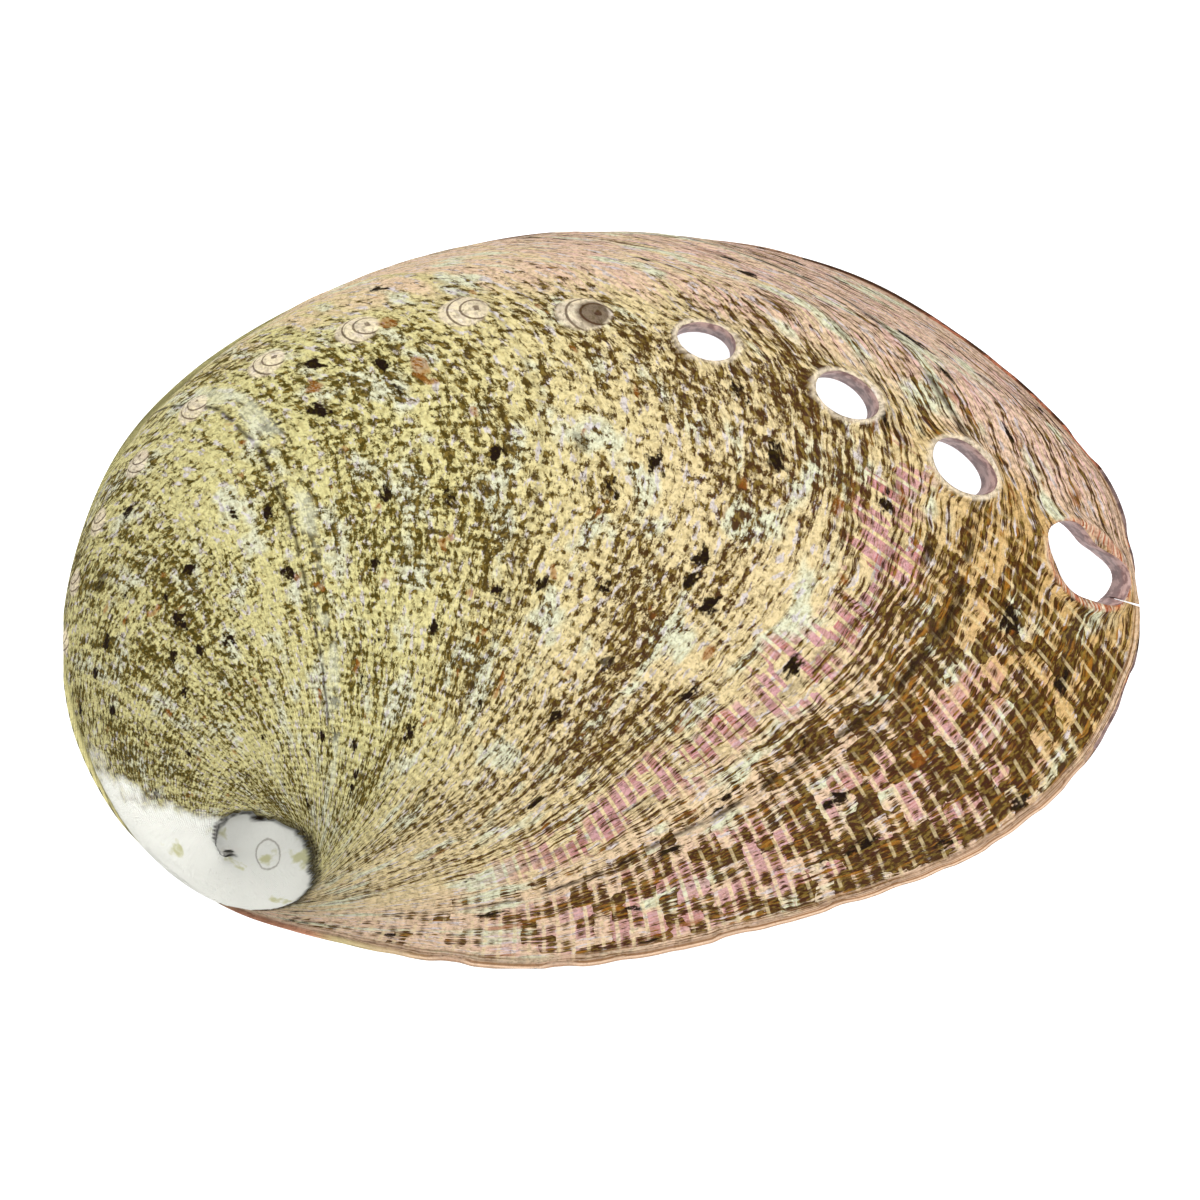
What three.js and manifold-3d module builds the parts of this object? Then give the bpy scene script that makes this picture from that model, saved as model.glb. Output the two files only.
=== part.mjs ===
// An abalone shell, resting on its rim with the outside up.
// Millimetres, +Z up, +X along the length towards the open holes. The origin is under the middle of
// the shell, in the plane of the rim.
//
// A shell grows by adding to its rim, so every growth line on it is an earlier rim. All of them have
// one shape: the rim turned back about the coil axis and shrunk towards the spire. The outer face is
// that family of curves, and the inner face is the same family moved inwards by the wall.
import * as THREE from "three";
import { mergeVertices } from "three/addons/utils/BufferGeometryUtils.js";
import Module from "manifold-3d";

const wasm = await Module();
wasm.setup();

// Rim, seen from above: it runs from the foot of the spire along the bottom edge, round the far end
// and back over the top edge. The third value is its height, which arches near the last hole.
const RIM_POINTS = [
  [-50, -43.5, 0], [-36, -47.6, 0], [-22, -50.3, 0], [-8, -51.3, 0],
  [6.5, -49.5, 0], [20.5, -46.3, 0], [34.5, -42.2, 0], [48, -37.4, 0],
  [59, -31, 0], [69, -20.8, 0.4], [74.6, -8, 1.8], [74.4, 4, 3.8],
  [71.2, 15.8, 5.2], [62, 27, 4.6], [50.5, 36.6, 2.8], [37.5, 44.4, 1],
  [23.5, 48.8, 0], [9, 50.5, 0], [-5.5, 51.1, 0], [-19.6, 48.9, 0],
  [-33, 44.7, 0], [-46, 38.8, 0], [-57.5, 31, 0], [-66.3, 21.5, 0],
  [-71.9, 9.5, 0], [-74.6, -4, 0], [-73.3, -17.5, 0], [-67.5, -29.5, 0],
  [-59.5, -37.5, 0],
];

// Coil: where the axis passes, how it leans, and how fast the shell shrinks backwards along it.
// The spire sits above the coil centre, and a little off it towards the near edge.
const COIL_CENTRE = new THREE.Vector3(-46.3, -32.1, 12);
const COIL_TILT = THREE.MathUtils.degToRad(35.9);
const COIL_LEAN = THREE.MathUtils.degToRad(-120.6);
const SHRINK_PER_RADIAN = 0.43;
const SPIRE_LIFT = 11;
const SPIRE_DRIFT = new THREE.Vector3(-5.5, -3, -2.5);
const DRIFT_POWER = 4;

// Wall, and the shelf on the spire side, where the rim is broad and flat
const WALL = 2.8;
const STEEPEST = 0.55; // least cosine between a line of sight and the wall that it crosses
const LIP_HEIGHT = 0.5;
const SHELF_WIDTH = 10;
const SHELF_STRETCH = [0.72, 1.02];

// Row of breathing holes: its place along the rim, and how far back each hole lies
const HOLE_ROW = 0.362;
const FIRST_HOLE = 5;
const HOLE_STEP = 11.85;
const OPEN_HOLES = 4;
const CLOSED_HOLES = 8;
const HOLE_LENGTH = 12;
const HOLE_WIDTH = 7;
const COLLAR_HEIGHT = 1.2;
const MOUND_HEIGHT = 1.8;
const BORE_DEPTH = 18;

// Low relief of the outer face: ledges where growth paused, and the ridge that carries the holes
const LEDGES = [17.6, 25.1, 62, 99.1];
const LEDGE_HEIGHT = 0.45;
const LEDGE_SPREAD = 2.8;
const RIDGE_HEIGHT = 0.9;
const RIDGE_SPREAD = 0.022;

// The share of each growth line that shows, and how finely the growth lines are drawn
const SHOWN = [-0.035, 0.76];
const GROWTH_COLUMNS = 72;
const FULL_TURN = 640;
const TURN_STEP = 5;

// The skins of the solid: points round the rim, rings from the rim to the middle of each face, and
// a point far below, from which every ring is sighted out to the growth surface
const ROUND = 84;
const OUTER_RINGS = 30;
const INNER_RINGS = 10;
const RING_CROWDING = 1.7; // above 1, rings crowd towards the spire
const SIGHT = new THREE.Vector3(-8, 0, -70);
const SPIRE_TIP = new THREE.Vector3(-40.7, -26.6, 0);
const BOWL_MIDDLE = new THREE.Vector3(4, 0, 0);

const rimCurve = new THREE.CatmullRomCurve3(
  RIM_POINTS.map((p) => new THREE.Vector3(...p)), true, "catmullrom", 0.5);

const coilAxis = new THREE.Vector3(
  Math.sin(COIL_TILT) * Math.cos(COIL_LEAN),
  Math.sin(COIL_TILT) * Math.sin(COIL_LEAN),
  Math.cos(COIL_TILT));

const { smoothstep } = THREE.MathUtils;
const shrinkAt = (degrees) => Math.exp(-SHRINK_PER_RADIAN * THREE.MathUtils.degToRad(degrees));
const hump = (distance, spread) => Math.exp(-((distance / spread) ** 2));
const steps = (from, to, count) => Array.from({ length: count + 1 }, (_, i) => from + ((to - from) * i) / count);

// Where the growth line so many degrees back meets the given share of the rim
function growthPoint(degrees, share) {
  const shrink = shrinkAt(degrees);
  const point = rimCurve.getPoint(((share % 1) + 1) % 1).sub(COIL_CENTRE);
  point.applyAxisAngle(coilAxis, THREE.MathUtils.degToRad(degrees));
  point.multiplyScalar(shrink).add(COIL_CENTRE);
  point.z += SPIRE_LIFT * (1 - shrink);
  return point.addScaledVector(SPIRE_DRIFT, (1 - shrink) ** DRIFT_POWER);
}

// The directions back along the growth, outwards and sideways at a place on the shell
function growthFrame(degrees, share) {
  const smallTurn = 0.5;
  const smallShare = 0.002;
  const back = growthPoint(degrees + smallTurn, share).sub(growthPoint(degrees - smallTurn, share)).normalize();
  const along = growthPoint(degrees, share + smallShare).sub(growthPoint(degrees, share - smallShare));
  const out = along.cross(back).normalize();
  return { back, out, side: out.clone().cross(back) };
}

function relief(degrees, share) {
  const fade = smoothstep(share, 0.03, 0.2) * (1 - smoothstep(share, 0.45, 0.6));
  let height = RIDGE_HEIGHT * hump(share - HOLE_ROW, RIDGE_SPREAD);
  for (const ledge of LEDGES) height += LEDGE_HEIGHT * fade * hump(degrees - ledge, LEDGE_SPREAD);
  return height * shrinkAt(degrees);
}

function outerPoint(degrees, share) {
  const height = relief(degrees, share);
  return growthPoint(degrees, share).addScaledVector(growthFrame(degrees, share).out, height);
}

function gridGeometry(rows) {
  const columns = rows[0].length;
  const triangles = [];
  for (let i = 0; i + 1 < rows.length; i++) {
    for (let j = 0; j + 1 < columns; j++) {
      const a = i * columns + j;
      triangles.push(a, a + 1, a + columns + 1, a, a + columns + 1, a + columns);
    }
  }
  const geometry = new THREE.BufferGeometry().setFromPoints(rows.flat());
  geometry.setIndex(triangles);
  return geometry;
}

// The outer face of the shell as an open sheet, coiled over itself at the spire
function growthSheet() {
  const shares = steps(...SHOWN, GROWTH_COLUMNS);
  const turns = steps(0, FULL_TURN, FULL_TURN / TURN_STEP);
  const rows = turns.map((degrees) => shares.map((share) => outerPoint(degrees, share)));
  return new THREE.Mesh(gridGeometry(rows), new THREE.MeshBasicMaterial({ side: THREE.DoubleSide }));
}

// The furthest place of the sheet on the line of sight through a point of the rim's plane, a depth
// inside it. Nothing lies below the lowest height.
function sighted(sheet, target, depth, lowest) {
  const direction = target.clone().sub(SIGHT).normalize();
  const hit = new THREE.Raycaster(SIGHT, direction).intersectObject(sheet).pop();
  let reach = (lowest - SIGHT.z) / direction.z;
  if (hit) {
    const cosine = Math.max(Math.abs(hit.face.normal.dot(direction)), STEEPEST);
    reach = Math.max(reach, hit.distance - depth / cosine);
  }
  return SIGHT.clone().addScaledVector(direction, reach);
}

// A point of space moved along its line of sight into the plane of the rim
function inRimPlane(point) {
  const direction = point.clone().sub(SIGHT);
  return SIGHT.clone().addScaledVector(direction, -SIGHT.z / direction.z);
}

const rimShares = steps(0, 1, ROUND).slice(0, ROUND);
const outerRim = rimShares.map((share) => rimCurve.getPointAt(share)).map((p) => p.setZ(Math.max(p.z, 0)));

// The inner edge of the rim, a wall in from the outer one and much more along the shelf
function innerEdge() {
  return rimShares.map((share, i) => {
    const [from, to] = SHELF_STRETCH;
    const along = (share < 0.5 ? share + 1 : share);
    const shelf = Math.max(Math.sin((Math.PI * (along - from)) / (to - from)), 0);
    const width = along > from && along < to ? WALL + (SHELF_WIDTH - WALL) * Math.sqrt(shelf) : WALL;
    const tangent = rimCurve.getTangentAt(share).setZ(0).normalize();
    const inwards = new THREE.Vector3(-tangent.y, tangent.x, 0);
    return outerRim[i].clone().addScaledVector(inwards, width);
  });
}

// Rings from just inside an edge to just outside the middle, each sighted out to the sheet
function ringsInside(edge, middle, count, sight) {
  const flatEdge = edge.map(inRimPlane);
  const insets = steps(0, 1, count).slice(1, count).map((x) => 1 - (1 - x) ** RING_CROWDING);
  return insets.map((inset) => flatEdge.map((p) => sight(p.clone().lerp(middle, inset))));
}

function skinTriangles(rings, offsets, pole, outwards) {
  const triangles = [];
  const put = (a, b, c) => (outwards ? triangles.push(a, b, c) : triangles.push(a, c, b));
  for (let r = 0; r + 1 < rings; r++) {
    for (let i = 0; i < ROUND; i++) {
      const next = (i + 1) % ROUND;
      const [a, b] = [offsets[r] + i, offsets[r] + next];
      const [c, d] = [offsets[r + 1] + next, offsets[r + 1] + i];
      put(a, b, c);
      put(a, c, d);
    }
  }
  for (let i = 0; i < ROUND; i++) put(offsets[rings - 1] + i, offsets[rings - 1] + ((i + 1) % ROUND), pole);
  return triangles;
}

function solid(positions, triangles) {
  return new wasm.Manifold(new wasm.Mesh({
    numProp: 3,
    vertProperties: new Float32Array(positions),
    triVerts: new Uint32Array(triangles),
  }));
}

function solidFromGeometry(geometry) {
  geometry.deleteAttribute("normal");
  geometry.deleteAttribute("uv");
  const merged = mergeVertices(geometry);
  return solid(merged.attributes.position.array, merged.index.array);
}

// The wall of the shell: an outer skin and an inner skin that meet round the flat rim
function wallBody() {
  const sheet = growthSheet();
  const outside = (target) => sighted(sheet, target, 0, LIP_HEIGHT);
  const inside = (target) => sighted(sheet, target, WALL, 0);
  const edge = innerEdge();
  const outerSkin = ringsInside(outerRim, SPIRE_TIP, OUTER_RINGS, outside);
  const innerSkin = ringsInside(edge, BOWL_MIDDLE, INNER_RINGS, inside);
  const rings = [outerRim, ...outerSkin, edge, ...innerSkin];
  const poles = [outside(SPIRE_TIP), inside(BOWL_MIDDLE)];
  const positions = [...rings.flat(), ...poles].flatMap((p) => p.toArray());
  const first = (ring) => ring * ROUND;
  const outerOffsets = steps(0, outerSkin.length, outerSkin.length).map(first);
  const innerOffsets = [0, ...steps(1 + outerSkin.length, rings.length - 1, innerSkin.length).map(first)];
  const pole = rings.length * ROUND;
  return solid(positions, [
    ...skinTriangles(outerOffsets.length, outerOffsets, pole, true),
    ...skinTriangles(innerOffsets.length, innerOffsets, pole + 1, false),
  ]);
}

// A geometry whose own x lies back along the growth, y sideways and z outwards, at one hole
function atHole(geometry, number) {
  const degrees = FIRST_HOLE + HOLE_STEP * number;
  const { back, out, side } = growthFrame(degrees, HOLE_ROW);
  const size = shrinkAt(degrees);
  const place = new THREE.Matrix4().makeBasis(back, side, out);
  place.scale(new THREE.Vector3((size * HOLE_LENGTH) / 2, (size * HOLE_WIDTH) / 2, size));
  place.setPosition(outerPoint(degrees, HOLE_ROW));
  return solidFromGeometry(geometry.applyMatrix4(place));
}

const collar = (number) => atHole(new THREE.TorusGeometry(1.1, 0.3, 6, 18).scale(1, 1, COLLAR_HEIGHT / 0.3), number);
const bore = (number) => atHole(new THREE.CylinderGeometry(1, 1, BORE_DEPTH, 18).rotateX(Math.PI / 2), number);
const mound = (number) => atHole(new THREE.SphereGeometry(1, 10, 8).scale(0.8, 0.7, MOUND_HEIGHT), number);

function shellSolid() {
  let body = wallBody();
  for (let i = 0; i < OPEN_HOLES; i++) body = body.add(collar(i));
  for (let i = 0; i < OPEN_HOLES; i++) body = body.subtract(bore(i));
  for (let i = OPEN_HOLES; i < OPEN_HOLES + CLOSED_HOLES; i++) body = body.add(mound(i));
  return body;
}

function meshOf(body, name, material) {
  const { vertProperties, triVerts } = body.getMesh();
  const geometry = new THREE.BufferGeometry();
  geometry.setAttribute("position", new THREE.BufferAttribute(vertProperties, 3));
  geometry.setIndex(new THREE.BufferAttribute(triVerts, 1));
  geometry.computeVertexNormals();
  const mesh = new THREE.Mesh(geometry, material);
  mesh.name = name;
  return mesh;
}

const shellMaterial = new THREE.MeshStandardMaterial({ color: 0xa79f78, roughness: 0.75, metalness: 0 });

const abalone = new THREE.Group();
abalone.add(meshOf(shellSolid(), "shell", shellMaterial));

export default abalone;
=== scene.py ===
import math

import bpy
import numpy as np
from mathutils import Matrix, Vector
from mathutils.bvhtree import BVHTree
from mathutils.kdtree import KDTree


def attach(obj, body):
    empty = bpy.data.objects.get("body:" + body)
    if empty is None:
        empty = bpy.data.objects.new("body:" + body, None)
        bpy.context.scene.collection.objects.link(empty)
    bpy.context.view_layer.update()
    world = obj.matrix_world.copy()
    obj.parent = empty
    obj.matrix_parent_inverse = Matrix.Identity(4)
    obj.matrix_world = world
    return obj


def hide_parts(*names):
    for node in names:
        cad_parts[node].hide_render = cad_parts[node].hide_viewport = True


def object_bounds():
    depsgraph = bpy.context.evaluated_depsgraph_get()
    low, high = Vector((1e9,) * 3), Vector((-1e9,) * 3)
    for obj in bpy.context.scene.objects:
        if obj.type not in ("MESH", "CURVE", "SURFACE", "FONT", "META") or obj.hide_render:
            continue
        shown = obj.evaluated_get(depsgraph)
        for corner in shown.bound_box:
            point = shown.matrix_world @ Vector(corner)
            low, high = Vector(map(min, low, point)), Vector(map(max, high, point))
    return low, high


# An abalone shell, resting on its rim with the outside up. The growth formula is the one of the
# solid: every growth line is an earlier rim, turned back about the coil axis and shrunk towards
# the spire. Here it is drawn finely, with its cords, growth lines, holes and worn spire.
# Lengths are in millimetres until the mesh is made, which is in metres.

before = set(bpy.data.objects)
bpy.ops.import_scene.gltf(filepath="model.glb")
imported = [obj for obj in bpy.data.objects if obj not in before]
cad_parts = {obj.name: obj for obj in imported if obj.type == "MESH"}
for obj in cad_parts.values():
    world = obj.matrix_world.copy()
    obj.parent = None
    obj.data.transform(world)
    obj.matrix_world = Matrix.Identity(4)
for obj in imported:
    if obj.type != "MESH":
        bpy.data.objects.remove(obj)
cad_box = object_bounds()

MM = 0.001

# Rim seen from above, from the foot of the spire along the bottom edge and round the far end
RIM_POINTS = np.array([
    [-50, -43.5, 0], [-36, -47.6, 0], [-22, -50.3, 0], [-8, -51.3, 0],
    [6.5, -49.5, 0], [20.5, -46.3, 0], [34.5, -42.2, 0], [48, -37.4, 0],
    [59, -31, 0], [69, -20.8, 0.4], [74.6, -8, 1.8], [74.4, 4, 3.8],
    [71.2, 15.8, 5.2], [62, 27, 4.6], [50.5, 36.6, 2.8], [37.5, 44.4, 1],
    [23.5, 48.8, 0], [9, 50.5, 0], [-5.5, 51.1, 0], [-19.6, 48.9, 0],
    [-33, 44.7, 0], [-46, 38.8, 0], [-57.5, 31, 0], [-66.3, 21.5, 0],
    [-71.9, 9.5, 0], [-74.6, -4, 0], [-73.3, -17.5, 0], [-67.5, -29.5, 0],
    [-59.5, -37.5, 0],
])

# Coil, as in the solid
COIL_CENTRE = np.array([-46.3, -32.1, 12])
COIL_TILT = math.radians(35.9)
COIL_LEAN = math.radians(-120.6)
COIL_AXIS = np.array([
    math.sin(COIL_TILT) * math.cos(COIL_LEAN),
    math.sin(COIL_TILT) * math.sin(COIL_LEAN),
    math.cos(COIL_TILT),
])
SHRINK_PER_RADIAN = 0.43
SPIRE_LIFT = 11
SPIRE_DRIFT = np.array([-5.5, -3, -2.5])
DRIFT_POWER = 4
FAR_RADIUS = 80  # from the coil centre to the far rim, which sets the scale along the growth

# Wall, and the shelf on the spire side
WALL = 2.8
STEEPEST = 0.55  # least cosine between a line of sight and the wall that it crosses
INNER_SMOOTHING = 12  # times that the inner face is averaged
MOST_THINNING = 0.8  # that the averaging may take from the wall, along a line of sight
SHELF_WIDTH = 10
SHELF_STRETCH = (0.72, 1.02)

# Rim: its chips, the lip where the outer face comes too low, and the least height off the table
CHIP_WAVES = (19, 31, 53)
CHIP_DEPTH = 0.35
CHIPS_START = (0.0, 0.08)
CHIPS_END = (0.5, 0.42)
LIP_HEIGHT = 0.5
RELIEF_FADE = 0.8  # from the edge to where the relief has its full height
RAISED_RIM = 0.2
RIM_SAMPLES = 4001
RIM_STEP = 0.001

# Row of breathing holes
HOLE_ROW = 0.362
FIRST_HOLE = 5
HOLE_STEP = 11.85
OPEN_HOLES = 4
CLOSED_HOLES = 9
HOLE_LENGTH = 12
HOLE_WIDTH = 7
BORE_DEPTH = 18
BORE_SIDES = 64
RIDGE_HEIGHT = 0.9
RIDGE_SPREAD = 0.022
HOLE_REACH = 12  # along the axis of a hole, over which it shapes the surface
FAR_AWAY = 99

# Collars of the open holes and mounds of the closed ones, with radii and spreads in half lengths
COLLAR_HEIGHT = 1.2
COLLAR_RADIUS = 1.12
COLLAR_SPREAD = 0.2
SWELL_HEIGHT = 0.5
SWELL_SPREAD = 0.7
MOUND_HEIGHT = 1.4
MOUND_SLOPE = (1.15, 0.35)

# The lip of an open hole and the plug of a closed one, as the finish shows them, in half lengths
HOLE_LIP = 1.03
HOLE_LIP_EDGE = (0.05, 0.17)
PLUG_EDGE = (0.5, 1.15)
CRESCENT_REACH = 1.6

# Where each open hole lies off the row, youngest first: along the row and across it in half lengths,
# and how many times its usual size it has
HOLE_CHANGES = ((0.33, 0.42, 1.22), (0.31, 0.57, 1), (-0.08, 0.42, 1), (0.15, 0.33, 0.97))

# Crack from the youngest hole to the rim, wider at the rim
CRACK_START = (71.4, 0.2)
CRACK_END = (76.5, -1.2)
CRACK_WIDTH = 0.25
CRACK_TAPER = (0.3, 1.6)
CRACK_TOP = 20
CRACK_BOTTOM = 5

# Pauses in the growth: degrees back from the rim, and how dark the line along each ledge is
LEDGE_LINES = ((17.6, 0.85), (25.1, 0.35), (62, 0.25), (99.1, 0.85))
LEDGE_HEIGHT = 0.5
LEDGE_SPREAD = 1.6
LEDGE_START = (0.03, 0.2)
LEDGE_END = (0.45, 0.6)

# Stages of growth with more dark marks, or fewer: from, to, softness, amount
DARK_STAGES = (
    (16, 22.5, 1.5, 0.01), (23.5, 27.5, 1.5, -0.05), (33, 58, 4, -0.018),
    (66, 92, 3, 0.018), (99, 113, 2, -0.02), (118, 180, 8, 0.025),
)

# Patches with more dark marks, or fewer: from, to and softness in age, the same in share, amount
DARK_PATCHES = (
    (27, 48, 6, 0.29, 0.37, 0.03, 0.12),
    (30, 56, 6, 0.06, 0.24, 0.04, 0.04),
    (-20, 20, 3, 0.2, 0.34, 0.03, 0.1),
    (-20, 17, 3, 0.02, 0.23, 0.03, -0.05),
    (40, 120, 15, 0.4, 0.5, 0.025, -0.06),
    (-20, 30, 12, -0.1, 0.08, 0.05, -0.12),
    (-20, 100, 40, 0.41, 0.5, 0.025, -0.055),
)

# Sculpture of the outer face. The terraces are steps at the margin, at so many millimetres from the edge
CORDS = 185
CORD_HEIGHT = 0.16
BODY_CORDS = 0.2  # share of the cord height on the body, below the ages of the spire
SPIRE_CORDS = (260, 200)
TERRACES = (0.6, 1.2, 1.9, 2.7)
TERRACE_HEIGHT = 0.09
TERRACE_AGE = 12

# Where the lip under the spire turns salmon and where the lip is olive, along the length
FOOT_START = (-56, -50)
FOOT_END = (-36, -41)
LEFT_SIDE = (-20, -45)

# The first whorl on top of the spire, seen from above, with a line of painted shade round its foot, and the
# painted shade in the crevice at the foot of the spire
TIP_CENTRE = (-45.8, -35.1)
TIP_RADII = (1.6, 2.1)
TIP_SLOPE = (1.1, 0.7)
TIP_HEIGHT = 0.35
SPIRE_AGE = 100
CREVICE_CENTRE = (-42.2, -39.4)
CREVICE_SPREAD = 1.4
CREVICE_SHADE_STRENGTH = 0.8

# Painted shade along the seam between two whorls: the least step in age across the seam, and where the
# shade fades out near the tip
SEAM_STEP = 60
SEAM_FADE = (420, 380)
BEYOND_SHELL = -200

# Worn white patch of the spire: the age at which it starts, how many degrees earlier for each whole
# share along the rim, how far its edge wanders and how soft it is
WORN_AGE = 226
WORN_SLANT = 120
WORN_RAGGED = 30
WORN_SOFT = 12

# Ridges of the plug in a closed hole, round a point towards the rim
CRESCENT_TURNS = 13
CRESCENT_CENTRE = -0.5

# The growth sheet, and the mesh that is sighted out to it
SHOWN = (-0.035, 0.76)
FULL_TURN = 640
SHEET_TURNS = 321
SHEET_COLUMNS = 321
SIGHT = np.array([-8.0, 0.0, -70.0])
SIGHT_REACH = 400
NEAR_DEGREES = 0.5
NEAR_SHARE = 0.002
MIDDLE = np.array([-8.0, -3.0, 0.0])
ROUND = 768
RING_STEP = 0.66
RIM_RING_STEP = 0.32
RIM_BAND = 4
HALVINGS = (0.5, 0.75, 0.875)
INNER_RINGS = 44

# Which finish is which, in the order of the material slots
OUTSIDE, INSIDE, HOLE_WALL = range(3)

# Camera, floor and lights, in metres and watts
VIEW_WIDTH = 0.16698
CAMERA_DISTANCE = 2.4
SENSOR_WIDTH = 36  # millimetres
FLOOR_HALF = 3.0
FLOOR_LEVEL = -0.00005
KEY_LIGHT = {"place": (-0.12, 0.3, 0.65), "size": 0.25, "power": 4.4}
FILL_LIGHT = {"place": (0.35, -0.45, 0.5), "size": 0.4, "power": 3.2}
ROOM_LIGHT = 0.5


def rim_point(share):
    count = len(RIM_POINTS)
    place = np.mod(share, 1) * count
    first = np.floor(place).astype(int)
    w = (place - first)[..., None]
    p0, p1, p2, p3 = (RIM_POINTS[(first + k) % count] for k in (-1, 0, 1, 2))
    v0 = (p2 - p0) / 2
    v1 = (p3 - p1) / 2
    return (2 * p1 - 2 * p2 + v0 + v1) * w**3 + (-3 * p1 + 3 * p2 - 2 * v0 - v1) * w**2 + v0 * w + p1


def shrink_at(degrees):
    return np.exp(-SHRINK_PER_RADIAN * np.radians(degrees))


def growth_point(degrees, share):
    """Where the growth line so many degrees back meets the given share of the rim."""
    shrink = shrink_at(degrees)[..., None]
    turn = np.radians(degrees)[..., None]
    arm = rim_point(share) - COIL_CENTRE
    along_axis = (arm @ COIL_AXIS)[..., None] * COIL_AXIS
    crossed = np.cross(COIL_AXIS, arm)
    turned = arm * np.cos(turn) + crossed * np.sin(turn) + along_axis * (1 - np.cos(turn))
    lift = np.array([0, 0, SPIRE_LIFT]) * (1 - shrink)
    return COIL_CENTRE + shrink * turned + lift + SPIRE_DRIFT * (1 - shrink) ** DRIFT_POWER


def growth_frame(degrees, share):
    """The directions back along the growth, sideways and outwards."""
    back = growth_point(degrees + NEAR_DEGREES, share) - growth_point(degrees - NEAR_DEGREES, share)
    along = growth_point(degrees, share + NEAR_SHARE) - growth_point(degrees, share - NEAR_SHARE)
    back /= np.linalg.norm(back, axis=-1, keepdims=True)
    out = np.cross(along, back)
    out /= np.maximum(np.linalg.norm(out, axis=-1, keepdims=True), 1e-9)
    return back, np.cross(out, back), out


def smooth(value, low, high):
    """Zero at low, one at high and smooth between them."""
    t = np.clip((value - low) / (high - low), 0, 1)
    return t * t * (3 - 2 * t)


def hump(distance, spread):
    return np.exp(-((distance / spread) ** 2))


def rim_lengths(shares):
    """The length of the rim from the first of the shares to each of them."""
    steps = np.linalg.norm(np.diff(rim_point(shares), axis=0), axis=1)
    return np.concatenate([[0], np.cumsum(steps)])


def arc_share_table():
    """The share of the rim's points, and the share of its length that lies before each of them."""
    shares = np.linspace(SHOWN[0], 1 + SHOWN[0], RIM_SAMPLES)
    length = rim_lengths(shares)
    return shares, length / length[-1]


SHARES, ARC_SHARES = arc_share_table()


def cord_number(share):
    """Which cord lies at a share, counted along the rim."""
    return np.interp(share, SHARES, ARC_SHARES) * CORDS


def growth_length(degrees):
    """Millimetres back from the rim along the growth, at the far end."""
    return FAR_RADIUS * (1 - shrink_at(degrees)) / SHRINK_PER_RADIAN


def growth_tree():
    """A tree of the fine growth sheet, with the degrees and shares of its grid."""
    degrees = np.linspace(0, FULL_TURN, SHEET_TURNS)
    shares = np.linspace(*SHOWN, SHEET_COLUMNS)
    grid_d, grid_s = np.meshgrid(degrees, shares, indexing="ij")
    points = growth_point(grid_d, grid_s).reshape(-1, 3)
    a = (np.arange(SHEET_TURNS - 1)[:, None] * SHEET_COLUMNS + np.arange(SHEET_COLUMNS - 1)).ravel()
    low = np.stack([a, a + 1, a + SHEET_COLUMNS + 1], axis=1)
    high = np.stack([a, a + SHEET_COLUMNS + 1, a + SHEET_COLUMNS], axis=1)
    faces = np.stack([low, high], axis=1).reshape(-1, 3)
    tree = BVHTree.FromPolygons(points.tolist(), faces.tolist(), all_triangles=True)
    return tree, points, faces, grid_d.ravel(), grid_s.ravel()


def barycentric(points, corners):
    """The weights of three corners at each point."""
    a, b, c = corners[:, 0], corners[:, 1], corners[:, 2]
    v0, v1, v2 = b - a, c - a, points - a
    d00, d01, d11 = (v0 * v0).sum(1), (v0 * v1).sum(1), (v1 * v1).sum(1)
    d20, d21 = (v2 * v0).sum(1), (v2 * v1).sum(1)
    scale = np.maximum(d00 * d11 - d01 * d01, 1e-12)
    v = (d11 * d20 - d01 * d21) / scale
    w = (d00 * d21 - d01 * d20) / scale
    return np.stack([1 - v - w, v, w], axis=1)


def sight_out(targets):
    """For points of the rim's plane: the line of sight, whether it meets the growth sheet, and the
    degrees and share at which it meets it last."""
    tree, points, faces, grid_d, grid_s = growth_tree()
    lines = targets - SIGHT
    lines /= np.linalg.norm(lines, axis=1, keepdims=True)
    starts = SIGHT + lines * SIGHT_REACH
    hits = np.full(len(targets), -1)
    places = np.zeros((len(targets), 3))
    for i, (start, line) in enumerate(zip(starts.tolist(), lines.tolist())):
        place, _, face, _ = tree.ray_cast(start, [-line[0], -line[1], -line[2]])
        if face is not None:
            hits[i] = face
            places[i] = place
    found = hits >= 0
    corners = faces[np.maximum(hits, 0)]
    weights = barycentric(places, points[corners])
    degrees = (weights * grid_d[corners]).sum(1)
    shares = (weights * grid_s[corners]).sum(1)
    return lines, found, np.clip(degrees, 0, FULL_TURN), np.clip(shares, *SHOWN)


def ring_insets(longest):
    """How far in each ring lies, as a share of the way to the middle, fine near the rim."""
    insets = [0.0]
    while insets[-1] < 1 - RING_STEP / longest:
        step = RIM_RING_STEP if insets[-1] * longest < RIM_BAND else RING_STEP
        insets.append(insets[-1] + step / longest)
    return insets


def ring_count(inset):
    return ROUND >> sum(inset > limit for limit in HALVINGS)


def disc(edge, middle, insets):
    """Rings of points from an edge to the middle, and the triangles between them. Inner rings have
    fewer points, so that the triangles stay alike."""
    points, rings, triangles = [], [], []
    for inset in insets:
        count = ring_count(inset)
        ring = edge[:: ROUND // count]
        rings.append((sum(len(r) for r in points), count))
        points.append(ring + (middle - ring) * inset)
    for (a0, many), (b0, few) in zip(rings, rings[1:]):
        i = np.arange(few)
        j = (i + 1) % few
        if many == few:
            triangles += [np.stack([a0 + i, a0 + j, b0 + j], 1), np.stack([a0 + i, b0 + j, b0 + i], 1)]
        else:
            left, mid, right = a0 + 2 * i, a0 + 2 * i + 1, a0 + (2 * i + 2) % many
            triangles += [np.stack([left, mid, b0 + i], 1), np.stack([mid, b0 + j, b0 + i], 1)]
            triangles += [np.stack([mid, right, b0 + j], 1)]
    start, count = rings[-1]
    i = np.arange(count)
    pole = start + count
    triangles.append(np.stack([start + i, start + (i + 1) % count, np.full(count, pole)], 1))
    return np.vstack(points + [middle[None]]), np.vstack(triangles)


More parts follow.
